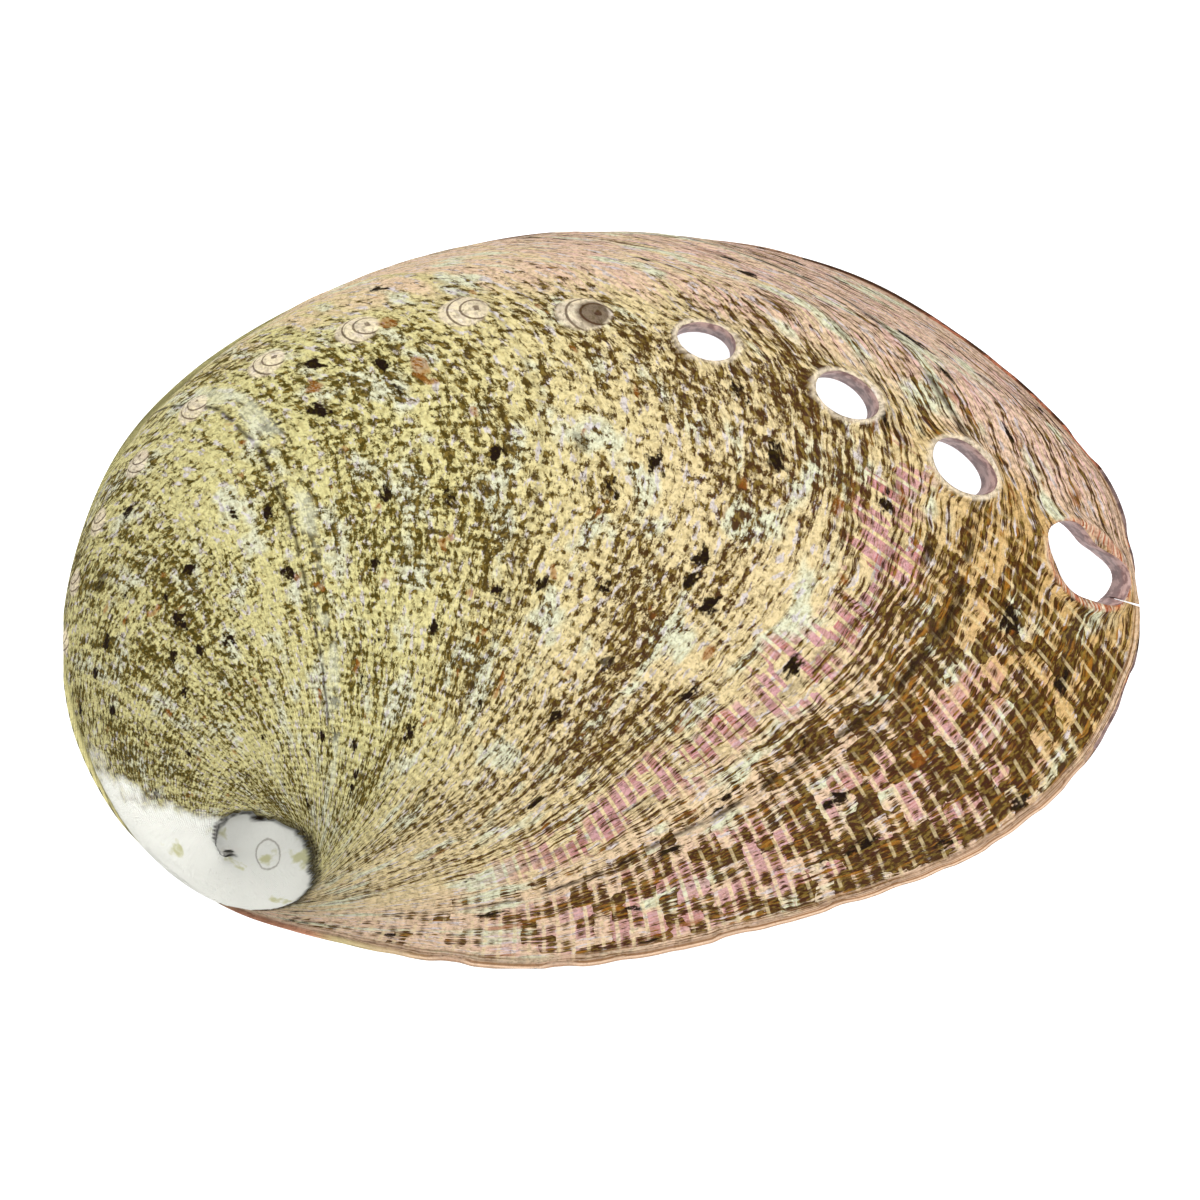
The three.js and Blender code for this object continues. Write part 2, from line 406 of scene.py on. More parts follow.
def in_rim_plane(points):
    """Where the lines of sight through the points meet the plane of the table."""
    lines = points - SIGHT
    return SIGHT + lines * (-SIGHT[2] / lines[:, 2])[:, None]


def even_shares():
    """Shares of the rim that lie evenly along its length."""
    samples = np.linspace(0, 1, RIM_SAMPLES)
    length = rim_lengths(samples)
    return np.interp(np.arange(ROUND) / ROUND * length[-1], length, samples)


def inwards(shares):
    """The level direction into the shell, square to the rim."""
    tangent = rim_point(shares + RIM_STEP) - rim_point(shares - RIM_STEP)
    tangent[:, 2] = 0
    tangent /= np.linalg.norm(tangent, axis=1, keepdims=True)
    return np.stack([-tangent[:, 1], tangent[:, 0], tangent[:, 2]], axis=1)


def outer_rim(shares):
    """The rim, with small chips along its lower half."""
    rim = rim_point(shares)
    rim[:, 2] = np.maximum(rim[:, 2], 0)
    waves = sum(np.sin(2 * np.pi * shares * count + count) for count in CHIP_WAVES) / len(CHIP_WAVES)
    chips = CHIP_DEPTH * smooth(waves, -0.3, 0.8)
    chips = chips * smooth(shares, *CHIPS_START) * smooth(shares, *CHIPS_END)
    return rim + inwards(shares) * chips[:, None]


def inner_edge(shares, rim):
    """The inner edge of the rim, a wall in from the outer one and more along the shelf."""
    low, high = SHELF_STRETCH
    along = np.where(shares < 0.5, shares + 1, shares)
    shelf = np.where((along > low) & (along < high), np.sin(np.pi * (along - low) / (high - low)), 0)
    width = WALL + (SHELF_WIDTH - WALL) * np.sqrt(np.maximum(shelf, 0))
    return rim + inwards(shares) * width[:, None]


def hole_place(number):
    """The middle of a hole, its directions along the row, across it and outwards, and its size."""
    degrees, share = np.array([FIRST_HOLE + HOLE_STEP * number]), np.array([HOLE_ROW])
    back, side, out = (v[0] for v in growth_frame(degrees, share))
    size = float(shrink_at(degrees)[0])
    place = growth_point(degrees, share)[0]
    if number < OPEN_HOLES:
        along, across, growth = HOLE_CHANGES[number]
        place = place + size * (along * HOLE_LENGTH * back + across * HOLE_WIDTH * side) / 2
        size *= growth
    return place, back, side, out, size


def hole_field(points, number):
    """Coordinates round one hole, in its half lengths, and its size. Points that are far along its
    axis count as far away."""
    place, back, side, out, size = hole_place(number)
    arms = points - place
    x = arms @ back / (size * HOLE_LENGTH / 2)
    y = arms @ side / (size * HOLE_WIDTH / 2)
    near = np.abs(arms @ out) < HOLE_REACH * size
    return np.where(near, x, FAR_AWAY), np.where(near, y, FAR_AWAY), size


def relief(points, degrees, share):
    """Height of the sculpture over the growth surface, in millimetres."""
    size = shrink_at(degrees)
    fade = smooth(share, *LEDGE_START) * (1 - smooth(share, *LEDGE_END))
    height = RIDGE_HEIGHT * hump(share - HOLE_ROW, RIDGE_SPREAD) * size
    for ledge, _ in LEDGE_LINES:
        height += LEDGE_HEIGHT * fade * size * hump(degrees - ledge, LEDGE_SPREAD)
    cord = np.cos(2 * np.pi * cord_number(share))
    strength = BODY_CORDS + (1 - BODY_CORDS) * (1 - smooth(degrees, *SPIRE_CORDS))
    height += CORD_HEIGHT * cord * np.sqrt(size) * smooth(share, 0.0, 0.06) * strength
    for number in range(OPEN_HOLES + CLOSED_HOLES):
        x, y, hole_size = hole_field(points, number)
        rho = np.hypot(x, y)
        if number < OPEN_HOLES:
            collar = COLLAR_HEIGHT * hump(rho - COLLAR_RADIUS, COLLAR_SPREAD)
            height += hole_size * (collar + SWELL_HEIGHT * hump(rho - 1, SWELL_SPREAD))
        else:
            height += hole_size * MOUND_HEIGHT * smooth(rho, *MOUND_SLOPE)
    return height


def suture_shade_mask(degrees, found, triangles):
    """One at the points of a younger whorl that lie next to an older one: where shade is painted along the
    seam.
    """
    mask = np.zeros(len(degrees))
    values = np.where(found, degrees, BEYOND_SHELL)
    for a, b in ((0, 1), (1, 2), (2, 0)):
        first, second = triangles[:, a], triangles[:, b]
        mask[first[values[second] - values[first] > SEAM_STEP]] = 1
        mask[second[values[first] - values[second] > SEAM_STEP]] = 1
    return mask


def spread(values, triangles, times):
    """Values averaged with their neighbours a number of times."""
    first = np.concatenate([triangles[:, 0], triangles[:, 1], triangles[:, 2]])
    second = np.concatenate([triangles[:, 1], triangles[:, 2], triangles[:, 0]])
    size = len(values)
    count = np.bincount(first, minlength=size) + np.bincount(second, minlength=size)
    for _ in range(times):
        total = np.bincount(first, values[second], size) + np.bincount(second, values[first], size)
        values = (values + total) / (1 + count)
    return values


def outer_targets(rim):
    """Rings of points in the rim's plane: where they lie, how high the rim is there, how far from the
    edge they are, and the triangles between them."""
    flat = in_rim_plane(rim)
    edge = np.column_stack([flat, rim[:, 2], np.zeros(ROUND)])
    insets = ring_insets(np.linalg.norm(flat - MIDDLE, axis=1).max())
    rings, triangles = disc(edge, np.append(MIDDLE, [0, 1]), insets)
    targets, rim_height = rings[:, :3], rings[:, 3]
    inset = np.minimum(rings[:, 4], 0.99)
    from_edge = inset / (1 - inset) * np.linalg.norm(targets - MIDDLE, axis=1)
    return targets, rim_height, from_edge, triangles


def spire_facts(outer, degrees, suture_shade, triangles):
    """How much painted shade each point takes along a seam of the spire and in the crevice at its foot, how
    near it is to the tip, and where the lip changes colour.
    """
    # Painted shade: dark in the crevice at the foot of the spire and along the seams between whorls
    from_crevice = np.linalg.norm(outer[:, :2] - CREVICE_CENTRE, axis=1)
    crevice_shade = CREVICE_SHADE_STRENGTH * hump(from_crevice, CREVICE_SPREAD) * (degrees < SPIRE_AGE)
    seam_shade = spread(suture_shade * smooth(degrees, *SEAM_FADE), triangles, 1)
    tip = np.linalg.norm((outer[:, :2] - TIP_CENTRE) / TIP_RADII, axis=1)
    x, y = outer[:, 0], outer[:, 1]
    return {
        "suture_shade": np.maximum(seam_shade, crevice_shade),
        "tip": np.where(degrees > SPIRE_AGE, tip, FAR_AWAY),
        "foot": smooth(x, *FOOT_START) * smooth(x, *FOOT_END) * (y < 0),
        "left": smooth(x, *LEFT_SIDE),
    }


def outer_skin(rim):
    """The outer face: its points and triangles, and what the finish needs to know of each point."""
    targets, rim_height, from_edge, triangles = outer_targets(rim)
    lines, found, degrees, share = sight_out(targets)
    lip_height = np.maximum(rim_height, LIP_HEIGHT)
    lip = SIGHT + lines * ((lip_height - SIGHT[2]) / lines[:, 2])[:, None]
    base = growth_point(degrees, share)
    found &= base[:, 2] > lip_height
    # Points where shade is painted along the seams between whorls
    suture_shade = suture_shade_mask(degrees, found, triangles)
    _, _, out = growth_frame(degrees, share)
    height = relief(base, degrees, share) * smooth(from_edge, 0, RELIEF_FADE)
    for terrace in TERRACES:
        height -= TERRACE_HEIGHT * smooth(terrace - from_edge, -0.1, 0.1) * (degrees < TERRACE_AGE)
    outer = np.where(found[:, None], base + out * height[:, None], lip)
    outer[:ROUND] = rim
    facts = {
        "age": np.where(found, degrees, 0),
        "share": share,
        "cord": cord_number(share),
        "growth": growth_length(degrees),
        "edge": from_edge,
        "lip": 1 - spread(found.astype(float), triangles, 2),
    }
    facts.update(spire_facts(outer, degrees, suture_shade, triangles))
    facts["collar"], facts["plug"], facts["crescent"] = hole_masks(base)
    outer[:, 2] += TIP_HEIGHT * smooth(facts["tip"], *TIP_SLOPE)
    return outer, triangles, facts


def hole_masks(points):
    """How near each point is to the lip of an open hole and to the middle of a closed one, and its
    distance from the point round which the plug has its ridges."""
    collar, plug, crescent = np.zeros((3, len(points)))
    for number in range(OPEN_HOLES + CLOSED_HOLES):
        x, y, _ = hole_field(points, number)
        rho = np.hypot(x, y)
        if number < OPEN_HOLES:
            collar = np.maximum(collar, 1 - smooth(np.abs(rho - HOLE_LIP), *HOLE_LIP_EDGE))
        else:
            plug = np.maximum(plug, 1 - smooth(rho, *PLUG_EDGE))
            crescent = np.where(rho < CRESCENT_REACH, np.hypot(x - CRESCENT_CENTRE, y), crescent)
    return collar, plug, crescent


def inner_skin(shares, rim):
    """The inner face, a wall in from the growth surface along each line of sight, and averaged."""
    edge = inner_edge(shares, rim)
    flat = in_rim_plane(edge)
    insets = [i / INNER_RINGS for i in range(INNER_RINGS)]
    targets, triangles = disc(flat, MIDDLE, insets)
    lines, found, degrees, share = sight_out(targets)
    base = growth_point(degrees, share)
    _, _, out = growth_frame(degrees, share)
    cosine = np.maximum(np.abs((out * lines).sum(1)), STEEPEST)
    reach = np.where(found, np.linalg.norm(base - SIGHT, axis=1) - WALL / cosine, 0)
    floor = -SIGHT[2] / lines[:, 2]
    reach = np.maximum(reach, floor)
    averaged = spread(reach, triangles, INNER_SMOOTHING)
    reach = np.maximum(np.minimum(averaged, reach + MOST_THINNING), floor)
    inner = SIGHT + lines * reach[:, None]
    inner[:ROUND] = edge
    return inner, triangles


def in_box(points):
    """Points moved to lie inside the box of the solid, where relief stands proud of it."""
    low, high = (np.array(v) / MM for v in cad_box)
    return np.clip(points, low, high)


def new_object(name, points, faces):
    mesh = bpy.data.meshes.new(name + "_surface")
    mesh.from_pydata((points * MM).tolist(), [], faces)
    mesh.update()
    thing = bpy.data.objects.new(name, mesh)
    bpy.context.scene.collection.objects.link(thing)
    return thing


def bore_outline(number):
    """The outline of an open hole, in its half lengths. The youngest is still a ragged double slot."""
    turn = np.linspace(0, 2 * np.pi, BORE_SIDES, endpoint=False)
    radius = 1 + 0.03 * np.cos(2 * turn + number) + 0.02 * np.cos(3 * turn + 2 * number)
    if number == 0:
        radius = 1.02 + 0.12 * np.cos(2 * turn) + 0.08 * np.cos(3 * turn + 1) + 0.05 * np.sin(5 * turn)
    return radius * np.cos(turn), radius * np.sin(turn)


def bore(number):
    """A cutter for one open hole, along the normal of the shell."""
    place, back, side, out, size = hole_place(number)
    x, y = bore_outline(number)
    flat = np.outer(x * size * HOLE_LENGTH / 2, back) + np.outer(y * size * HOLE_WIDTH / 2, side)
    top, bottom = (place + flat + out * BORE_DEPTH / 2 * k for k in (1, -1))
    i = np.arange(BORE_SIDES)
    j = (i + 1) % BORE_SIDES
    walls = np.stack([i, i + BORE_SIDES, j + BORE_SIDES, j], 1).tolist()
    faces = walls + [i.tolist(), (i[::-1] + BORE_SIDES).tolist()]
    return new_object("bore", np.vstack([top, bottom]), faces)


def crack():
    """A cutter for the crack from the youngest hole to the rim."""
    start, end = np.array([*CRACK_START, 0]), np.array([*CRACK_END, 0])
    across = np.cross([0, 0, 1], end - start)
    across *= CRACK_WIDTH / 2 / np.linalg.norm(across)
    near, far = (across * share for share in CRACK_TAPER)
    ring = np.array([start + near, start - near, end - far, end + far])
    points = np.vstack([ring + [0, 0, CRACK_TOP], ring - [0, 0, CRACK_BOTTOM]])
    i = np.arange(4)
    j = (i + 1) % 4
    walls = np.stack([i, i + 4, j + 4, j], 1).tolist()
    return new_object("crack", points, walls + [[0, 1, 2, 3], [7, 6, 5, 4]])


def cut(thing, cutter):
    """Takes the cutter out of the thing."""
    bpy.context.view_layer.update()
    modifier = thing.modifiers.new("cut", "BOOLEAN")
    modifier.operation = "DIFFERENCE"
    modifier.solver = "MANIFOLD"
    modifier.object = cutter
    cut_thing = thing.evaluated_get(bpy.context.evaluated_depsgraph_get())
    cut_mesh = bpy.data.meshes.new_from_object(cut_thing)
    thing.modifiers.clear()
    thing.data = cut_mesh
    bpy.data.objects.remove(cutter)


def give_facts(mesh, points, facts):
    """Writes each fact as an attribute. A point made by a cut takes those of its nearest neighbour."""
    tree = KDTree(len(points))
    for i, point in enumerate((points * MM).tolist()):
        tree.insert(point, i)
    tree.balance()
    nearest = np.array([tree.find(v.co)[1] for v in mesh.vertices])
    for name, values in facts.items():
        attribute = mesh.attributes.new(name, "FLOAT", "POINT")
        attribute.data.foreach_set("value", values[nearest].astype(np.float32))


def give_finishes(thing, finishes, slots):
    """The materials of a thing, and which of them each of its faces has."""
    for material in finishes:
        thing.data.materials.append(material)
    thing.data.polygons.foreach_set("material_index", slots)


def uncut_shell(finishes):
    """The shell without its open holes, with its points and the facts of each of them."""
    shares = even_shares()
    rim = outer_rim(shares)
    outer, outer_triangles, facts = outer_skin(rim)
    inner, inner_triangles = inner_skin(shares, rim)
    inner_start = len(outer)
    i = np.arange(ROUND)
    j = (i + 1) % ROUND
    across, along = i + inner_start, j + inner_start
    band = np.vstack([np.stack([i, along, j], 1), np.stack([i, across, along], 1)])
    triangles = np.vstack([outer_triangles, band, inner_triangles[:, ::-1] + inner_start])
    points = in_box(np.vstack([outer, inner]))
    shell = new_object("abalone_shell", points, triangles.tolist())
    outer_slots = np.full(len(outer_triangles), OUTSIDE)
    band_slots = np.where(rim[:, 2] > RAISED_RIM, HOLE_WALL, INSIDE)
    inner_slots = np.full(len(inner_triangles), INSIDE)
    give_finishes(shell, finishes, np.concatenate([outer_slots, band_slots, band_slots, inner_slots]))
    inner_facts = np.zeros(len(inner))
    facts = {name: np.concatenate([values, inner_facts]) for name, values in facts.items()}
    return shell, points, facts


def abalone_shell():
    finishes = [outside_material(), inside_material(), hole_wall_material()]
    shell, points, facts = uncut_shell(finishes)
    for cutter in [bore(number) for number in range(OPEN_HOLES)] + [crack()]:
        give_finishes(cutter, finishes, [HOLE_WALL] * len(cutter.data.polygons))
        cut(shell, cutter)
    give_facts(shell.data, points, facts)
    shell.data.polygons.foreach_set("use_smooth", [True] * len(shell.data.polygons))
    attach(shell, "root")
    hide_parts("shell")
    return shell


def rgb(red, green, blue):
    """A colour given as screen values from 0 to 255."""
    return tuple((v / 255) ** 2.2 for v in (red, green, blue)) + (1.0,)


class Finish:
    """A material whose nodes are made by short calls. A value is a number, a colour or a socket."""

    def __init__(self, name):
        self.material = bpy.data.materials.new(name)
        self.material.use_nodes = True
        self.nodes = self.material.node_tree.nodes
        self.links = self.material.node_tree.links
        self.surface = self.nodes["Principled BSDF"]

    def put(self, value, socket):
        if isinstance(value, bpy.types.NodeSocket):
            self.links.new(value, socket)
        else:
            socket.default_value = value

    def calc(self, operation, a, b=0.0):
        node = self.nodes.new("ShaderNodeMath")
        node.operation = operation
        self.put(a, node.inputs[0])
        self.put(b, node.inputs[1])
        return node.outputs[0]

    def times(self, *values):
        total = values[0]
        for value in values[1:]:
            total = self.calc("MULTIPLY", total, value)
        return total

    def plus(self, a, b):
        return self.calc("ADD", a, b)

    def step(self, value, low, high):
        """Zero below low, one above high and smooth between them. It falls where low is the higher."""
        node = self.nodes.new("ShaderNodeMapRange")
        node.interpolation_type = "SMOOTHSTEP"
        self.put(value, node.inputs["Value"])
        node.inputs["From Min"].default_value = min(low, high)
        node.inputs["From Max"].default_value = max(low, high)
        node.inputs["To Min"].default_value = float(low > high)
        node.inputs["To Max"].default_value = float(low < high)
        return node.outputs[0]

    def band(self, value, low, high, soft):
        """One between low and high, with soft ends."""
        rise = self.step(value, low - soft, low + soft)
        fall = self.step(value, high + soft, high - soft)
        return self.times(rise, fall)

    def mix(self, share, a, b):
        node = self.nodes.new("ShaderNodeMix")
        node.data_type = "RGBA"
        self.put(share, node.inputs["Factor"])
        self.put(a, node.inputs[6])
        self.put(b, node.inputs[7])
        return node.outputs[2]

    def fact(self, name):
        node = self.nodes.new("ShaderNodeAttribute")
        node.attribute_name = name
        return node.outputs["Fac"]

    def place(self):
        return self.nodes.new("ShaderNodeTexCoord").outputs["Object"]

    def vector(self, x, y=0.0, z=0.0):
        node = self.nodes.new("ShaderNodeCombineXYZ")
        for value, socket in zip((x, y, z), node.inputs):
            self.put(value, socket)
        return node.outputs[0]

    def noise(self, vector, scale=1.0, detail=2.0, rough=0.55):
        node = self.nodes.new("ShaderNodeTexNoise")
        node.inputs["Roughness"].default_value = rough
        self.put(vector, node.inputs["Vector"])
        node.inputs["Scale"].default_value = scale
        node.inputs["Detail"].default_value = detail
        return node.outputs["Fac"]

    def cells(self, vector, loose, square=False):
        """The outputs of a cell pattern: a colour for each cell and the distance to its middle."""
        node = self.nodes.new("ShaderNodeTexVoronoi")
        node.distance = "CHEBYCHEV" if square else "EUCLIDEAN"
        self.put(vector, node.inputs["Vector"])
        node.inputs["Scale"].default_value = 1.0
        node.inputs["Randomness"].default_value = loose
        return node.outputs

    def part(self, colour, channel):
        node = self.nodes.new("ShaderNodeSeparateColor")
        self.put(colour, node.inputs[0])
        return node.outputs[channel]

    def bump(self, height, depth):
        """Height from 0 to 1 stands for a depth in metres."""
        node = self.nodes.new("ShaderNodeBump")
        node.inputs["Distance"].default_value = depth
        self.put(height, node.inputs["Height"])
        self.links.new(node.outputs[0], self.surface.inputs["Normal"])


OLIVE = rgb(206, 198, 140)
CREAM = rgb(216, 196, 150)
PINK_CREAM = rgb(218, 187, 160)
GREY_LILAC = rgb(200, 192, 196)
PALE_GREEN = rgb(210, 210, 180)
GOLD_CREAM = rgb(202, 166, 112)
DARK_OLIVE = rgb(64, 54, 4)
UMBER = rgb(60, 32, 2)
SOOT = rgb(34, 24, 18)
BROWN_OLIVE = rgb(128, 106, 48)
RUST = rgb(140, 80, 30)
MAUVE = rgb(200, 152, 160)
RASPBERRY = rgb(172, 96, 98)
AMBER = rgb(158, 104, 34)
WORN_WHITE = rgb(254, 254, 244)
SALMON = rgb(214, 154, 124)
CHALK = rgb(228, 212, 186)
RIM_RED = rgb(176, 92, 62)
RIM_BROWN = rgb(126, 92, 60)
LIP_BROWN = rgb(150, 112, 80)
WORN_OLIVE = rgb(214, 212, 166)
# Painted shade round the foot of the first whorl
TIP_SHADE = rgb(120, 104, 84)
PEARL_TEAL = rgb(178, 204, 198)
PEARL_SILVER = rgb(214, 216, 220)
PEARL_ROSE = rgb(222, 196, 210)
PEARL_GREEN = rgb(176, 206, 178)
LAYER_DARK = rgb(120, 92, 88)
LAYER_PALE = rgb(176, 146, 138)


class Lattice:
    """The two families of lines on the outside: cords, and the growth lines that cross them."""

    def __init__(self, finish):
        self.finish = finish
        shift = finish.calc("SUBTRACT", finish.noise(finish.place(), 130, 3), 0.5)
        self.cord = finish.plus(finish.fact("cord"), finish.times(shift, 1.6))
        self.growth = finish.plus(finish.fact("growth"), finish.times(shift, 2.2))

    def at(self, along_cord, along_growth, seed=0.0):
        """A place on the lattice, scaled, in cords and in millimetres of growth."""
        f = self.finish
        return f.vector(f.times(self.cord, along_cord), f.times(self.growth, along_growth), seed)

    def noise(self, along_cord, along_growth, seed, detail=3.0, rough=0.55):
        return self.finish.noise(self.at(along_cord, along_growth, seed), 1.0, detail, rough)

    def valley(self):
        """One between two cords, zero on top of a cord."""
        f = self.finish
        wave = f.calc("COSINE", f.times(f.fact("cord"), 2 * math.pi))
        return f.plus(f.times(wave, -0.5), 0.5)


def pale_ground(f, lattice, age, share):
    """Olive at the spire end, cream in the middle, pinkish near the rim, with paler patches."""
    colour = f.mix(f.step(age, 35, 85), CREAM, OLIVE)
    young = f.mix(f.step(share, 0.26, 0.31), PINK_CREAM, GOLD_CREAM)
    young = f.mix(f.step(share, 0.36, 0.38), young, PINK_CREAM)
    colour = f.mix(f.step(age, 30, 12), colour, young)
    beyond_holes = f.step(share, 0.37, 0.4)
    blush = f.step(lattice.noise(0.1, 0.3, 5, 2), 0.36, 0.56)
    blush = f.times(beyond_holes, f.step(age, 110, 60), blush)
    colour = f.mix(f.times(blush, 0.85), colour, PINK_CREAM)
    streaks = f.step(lattice.noise(0.2, 2.2, 63), 0.47, 0.58)
    streaks = f.times(streaks, beyond_holes, f.step(age, 70, 30))
    colour = f.mix(f.times(streaks, 0.55), colour, MAUVE)
    colour = f.mix(f.step(lattice.noise(0.16, 0.2, 3, 2), 0.53, 0.65), colour, PALE_GREEN)
    dashes = f.step(lattice.noise(0.6, 1.1, 7), 0.56, 0.63)
    return f.mix(f.times(dashes, 0.8), colour, GREY_LILAC)


def rosy_cells(f, lattice, age, share):
    """Where there are mauve and raspberry cells, and their colour. They lie in an arc along the second
    ledge, and over the low side of the last growth."""
    cell = f.cells(lattice.at(0.8, 0.36, 31), 0.4, square=True)["Color"]
    arc = f.times(f.band(age, 22.5, 28.5, 1.6), f.step(share, 0.36, 0.33))
    low_side = f.times(f.band(age, 3, 15, 1.5), f.step(share, 0.33, 0.27), 0.85)
    where = f.times(f.step(f.part(cell, "Red"), 0.28, 0.34), f.calc("MAXIMUM", arc, low_side))
    where = f.times(where, f.step(share, 0.06, 0.13))
    stria = f.step(lattice.noise(0.2, 4, 33), 0.4, 0.6)
    colour = f.mix(f.plus(f.times(f.part(cell, "Green"), stria), 0.15), MAUVE, RASPBERRY)
    return f.times(where, f.step(lattice.valley(), 0.1, 0.3)), colour


def darkness(f, lattice, age, share):
    """How much thicker the dark marks lie: in slow waves, in stages of growth and in patches."""
    total = f.times(f.calc("SUBTRACT", lattice.noise(0.07, 0.09, 17, 2), 0.485), 0.4)
    for low, high, soft, amount in DARK_STAGES:
        total = f.plus(total, f.times(f.band(age, low, high, soft), amount))
    for low, high, soft, share_low, share_high, share_soft, amount in DARK_PATCHES:
        patch = f.times(f.band(age, low, high, soft), f.band(share, share_low, share_high, share_soft))
        total = f.plus(total, f.times(patch, amount))
    return total


def dark_marks(f, lattice, age, share):
    """Speckles in the hollows of the lattice, which run into striae and blocks in the last growth."""
    fine = lattice.noise(0.9, 1.0, 11, 4, 0.75)
    stria = lattice.noise(0.3, 2.4, 13, 4)
    block = f.part(f.cells(lattice.at(0.8, 0.36, 19), 0.4, square=True)["Color"], "Red")
    block = f.times(f.calc("SUBTRACT", block, 0.5), 0.3)
    young = f.step(age, 45, 20)
    blocky = f.times(f.step(age, 24, 14), f.step(share, 0.36, 0.3))
    level = f.plus(fine, f.times(f.calc("SUBTRACT", stria, fine), f.plus(f.times(young, 0.55), 0.15)))
    level = f.plus(level, f.times(block, blocky))
    level = f.plus(f.times(f.calc("SUBTRACT", level, 0.5), 1.5), 0.44)
    level = f.plus(level, f.times(lattice.valley(), f.plus(f.times(blocky, 0.1), 0.06)))
    rows = f.times(f.calc("SUBTRACT", lattice.noise(0.08, 0.7, 21, 2), 0.5), 0.45)
    level = f.plus(level, f.plus(rows, darkness(f, lattice, age, share)))
    return f.step(level, 0.44, 0.59)


def round_spots(f, lattice):
    """Where the few large spots are."""
    spots = f.cells(lattice.at(0.2, 0.24, 23), 1.0)
    chosen = f.step(f.part(spots["Color"], "Green"), 0.55, 0.57)
    ragged = f.times(lattice.noise(1.2, 1.4, 29, 4), 0.7)
    return f.times(chosen, f.step(f.plus(spots["Distance"], ragged), 0.59, 0.49))


def dark_tone(f, lattice, age):
    """The colour of the dark marks: umber near the rim, olive further back, with amber and brown parts."""
    tone = f.mix(f.step(age, 30, 90), UMBER, DARK_OLIVE)
    amber = f.step(lattice.noise(0.35, 1.3, 47), 0.54, 0.66)
    tone = f.mix(f.times(amber, f.step(age, 40, 15), 0.8), tone, AMBER)
    brown = f.step(lattice.noise(1.7, 1.9, 59, 2), 0.46, 0.64)
    return f.mix(f.times(brown, 0.7), tone, BROWN_OLIVE)


def cord_tops(f, lattice, age, share):
    """Where the marks of the last growth are worn off the tops of the cords."""
    top = f.step(lattice.valley(), 0.22, 0.06)
    patches = f.step(lattice.noise(0.6, 0.5, 53), 0.45, 0.58)
    return f.times(top, f.step(age, 20, 14), f.step(share, 0.36, 0.33), patches, 0.55)


def ledge_marks(f, lattice, age, share, wobble, colour):
    """Adds the dark lines along the ledges, and a pale step just before the oldest of them."""
    gaps = f.step(lattice.noise(0.5, 0.1, 71, 2), 0.36, 0.5)
    clear_of_spire = f.step(share, 0.02, 0.12)
    line_age = f.plus(age, f.times(wobble, 0.2))
    for ledge, strength in LEDGE_LINES:
        line = f.band(line_age, ledge - 0.5, ledge + 0.2, 0.4)
        colour = f.mix(f.times(line, gaps, strength, clear_of_spire), colour, SOOT)
    broken = f.step(lattice.noise(0.25, 0.3, 51, 2), 0.42, 0.56)
    pale_step = f.band(f.plus(age, f.times(wobble, 0.3)), 94.5, 97.5, 0.8)
    return f.mix(f.times(pale_step, broken, 0.6), colour, PALE_GREEN)


def outside_colour(f, lattice, age, share):
    """The pale ground, and on it the rosy cells, the dark marks, rust, spots and ledges."""
    wobble = f.times(f.calc("SUBTRACT", lattice.noise(0.22, 0.12, 43, 2), 0.5), 11)
    stage = f.plus(age, wobble)
    colour = pale_ground(f, lattice, stage, share)
    rosy, rose = rosy_cells(f, lattice, stage, share)
    colour = f.mix(f.times(rosy, 0.9), colour, rose)
    # Brown-olive mottling of the pale ground: partly its own tone, partly painted shade in small hollows
    mottle_and_shade = f.step(lattice.noise(1.5, 1.8, 61, 2), 0.55, 0.36)
    colour = f.mix(f.times(mottle_and_shade, 0.35), colour, BROWN_OLIVE)
    dark = dark_marks(f, lattice, stage, share)
    colour = f.mix(f.times(dark, 0.97), colour, dark_tone(f, lattice, age))
    rust = f.step(lattice.noise(0.25, 0.3, 49, 2), 0.66, 0.72)
    colour = f.mix(f.times(rust, 0.6), colour, RUST)
    colour = f.mix(round_spots(f, lattice), colour, SOOT)
    colour = f.mix(cord_tops(f, lattice, stage, share), colour, CREAM)
    return ledge_marks(f, lattice, age, share, wobble, colour)


def rim_and_holes(f, age, colour):
    """Adds the layers at the margin, the red edge, the plugs of closed holes and the lips of open ones."""
    edge, plug, crescent = f.fact("edge"), f.fact("plug"), f.fact("crescent")
    layers = f.noise(f.vector(f.times(edge, 3.2), f.times(f.fact("cord"), 0.08)), 1.0, 3)
    layered = f.mix(f.step(layers, 0.4, 0.56), RIM_BROWN, PINK_CREAM)
    youngest = f.step(age, 12, 6)
    margin = f.times(f.step(f.plus(edge, f.times(layers, 2)), 4.0, 3.2), youngest)
    colour = f.mix(f.times(margin, 0.7), colour, layered)
    colour = f.mix(f.times(f.step(edge, 0.7, 0.2), youngest, 0.8), colour, RIM_RED)
    colour = f.mix(f.times(f.step(plug, 0.05, 0.4), 0.7), colour, CHALK)
    ridges = f.step(f.calc("SINE", f.times(crescent, CRESCENT_TURNS)), 0.7, 0.95)
    colour = f.mix(f.times(ridges, f.step(plug, 0.1, 0.3), 0.75), colour, UMBER)
    pit = f.times(f.step(crescent, 0.95, 0.6), f.step(plug, 0.2, 0.5), f.step(age, 64, 58))
    colour = f.mix(f.times(pit, 0.8), colour, UMBER)
    red = f.times(f.step(age, 14, 9), f.step(layers, 0.35, 0.6))
    return f.mix(f.times(f.fact("collar"), 0.8), colour, f.mix(red, CHALK, RIM_RED))


